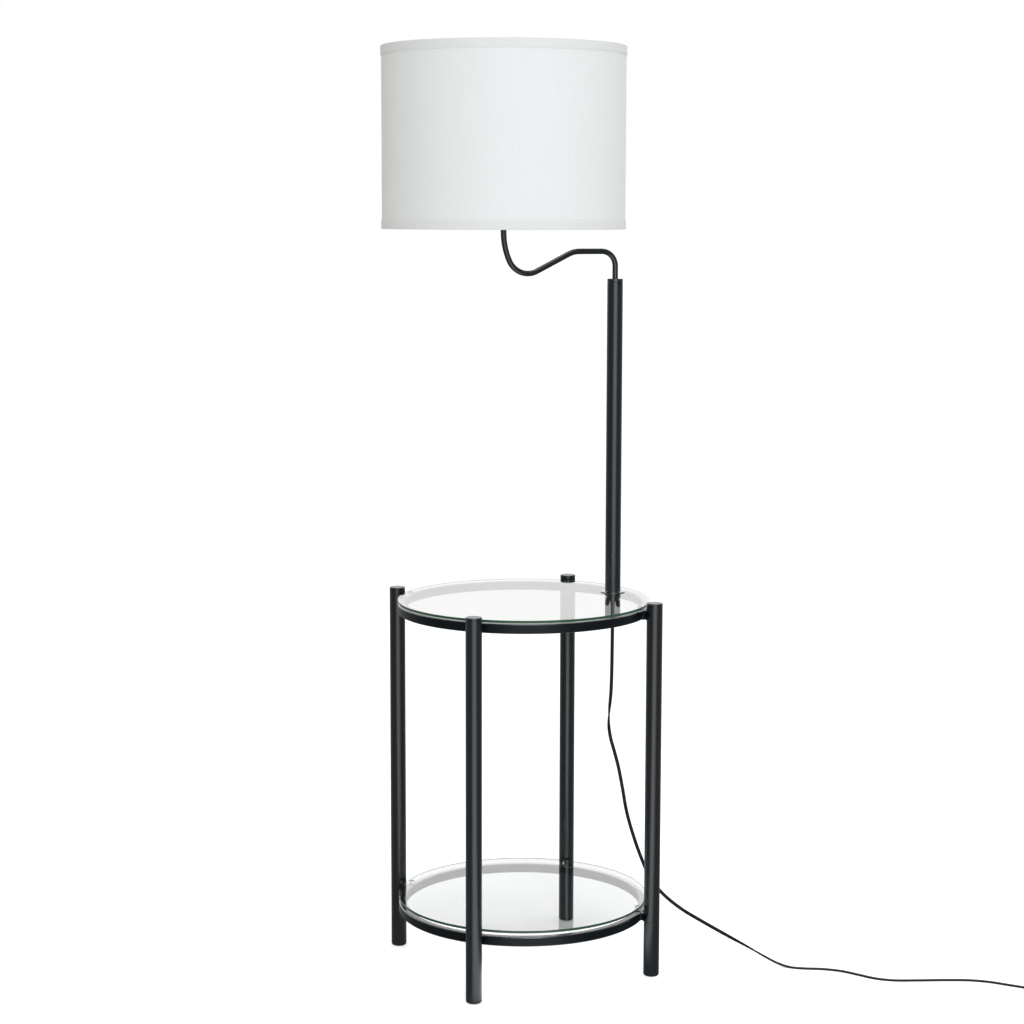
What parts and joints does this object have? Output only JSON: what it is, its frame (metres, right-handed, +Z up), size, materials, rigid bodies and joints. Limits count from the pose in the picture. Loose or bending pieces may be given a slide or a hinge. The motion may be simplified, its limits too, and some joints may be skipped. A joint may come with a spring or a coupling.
{
  "type": "floor lamp",
  "caption": "Floor lamp on a round tiered glass side table, with a swivelling S-bent arm, a drum shade and a mains cord.",
  "frame": {"origin": "on the floor, at the axis of the round glass discs", "axes": "+Z up, +X to the right of the picture, +Y away from its camera"},
  "size_m": [1.1439, 0.4408, 1.4772],
  "materials": {
    "black_paint": "satin",
    "clear_glass": "polished",
    "clear_pad": "soft",
    "zinc_steel": "brushed",
    "brass_metal": "satin",
    "black_plastic": "matte",
    "cord_sheath": "satin",
    "switch_plastic": "matte",
    "bulb_glass": "frosted",
    "shade_fabric": "woven",
    "hem_tape": "matte"
  },
  "bodies": {
    "table": {"top_ring": "black_paint", "leg_stub_1": "black_paint", "leg_stub_2": "black_paint", "leg_stub_3": "black_paint", "leg_stub_4": "black_paint", "leg_caps": "black_paint", "shelf_ring": "black_paint", "leg_tube_1": "black_paint", "leg_tube_2": "black_paint", "leg_tube_3": "black_paint", "leg_tube_4": "black_paint", "foot_tube_1": "black_paint", "foot_tube_2": "black_paint", "foot_tube_3": "black_paint", "foot_tube_4": "black_paint", "base_flange": "black_paint", "under_washer": "black_paint", "wing_nut": "black_paint", "pole": "black_paint", "pole_ferrule": "black_paint", "stub_plugs": "zinc_steel", "leg_top_plugs": "zinc_steel", "leg_bottom_plugs": "zinc_steel", "foot_top_plugs": "zinc_steel", "threaded_nipple": "zinc_steel", "pole_base_plug": "zinc_steel", "friction_screw": "zinc_steel", "foot_pads": "black_plastic", "cord_bushing": "black_plastic", "table_glass": "clear_glass", "shelf_glass": "clear_glass", "top_glass_pads": "clear_pad", "shelf_glass_pads": "clear_pad", "base_gasket": "clear_pad", "under_gasket": "clear_pad", "pole_wire": "cord_sheath", "cord_run": "cord_sheath", "cord_coil": "cord_sheath", "plug_body": "cord_sheath", "plug_blades": "brass_metal"},
    "lamp_arm": {"swivel_cap": "black_paint", "arm": "black_paint", "pivot_nut": "zinc_steel", "arm_wire": "cord_sheath", "socket_cup": "black_paint", "socket_shell": "black_plastic", "switch_body": "switch_plastic", "screw_shell": "brass_metal", "shade_clamp_ring": "black_plastic", "bulb_base": "zinc_steel", "bulb_globe": "bulb_glass", "shade_bottom_frame": "zinc_steel", "shade_top_ring": "zinc_steel", "shade_fabric": "shade_fabric", "shade_top_hem": "hem_tape", "shade_bottom_hem": "hem_tape"},
    "switch_key": {"switch_stem": "brass_metal", "switch_knob": "black_plastic"}
  },
  "joints": [
    {"name": "arm_swing", "type": "hinge", "parent": "table", "child": "lamp_arm", "pos_m": [0.14682, 0.06846, 1.10875], "axis": [0, 0, 1], "range_deg": [-170, 170]},
    {"name": "switch_turn", "type": "hinge", "parent": "lamp_arm", "child": "switch_key", "pos_m": [-0.02417, -0.03334, 1.23122], "axis": [0.4226, -0.9063, 0], "continuous": true}
  ]
}
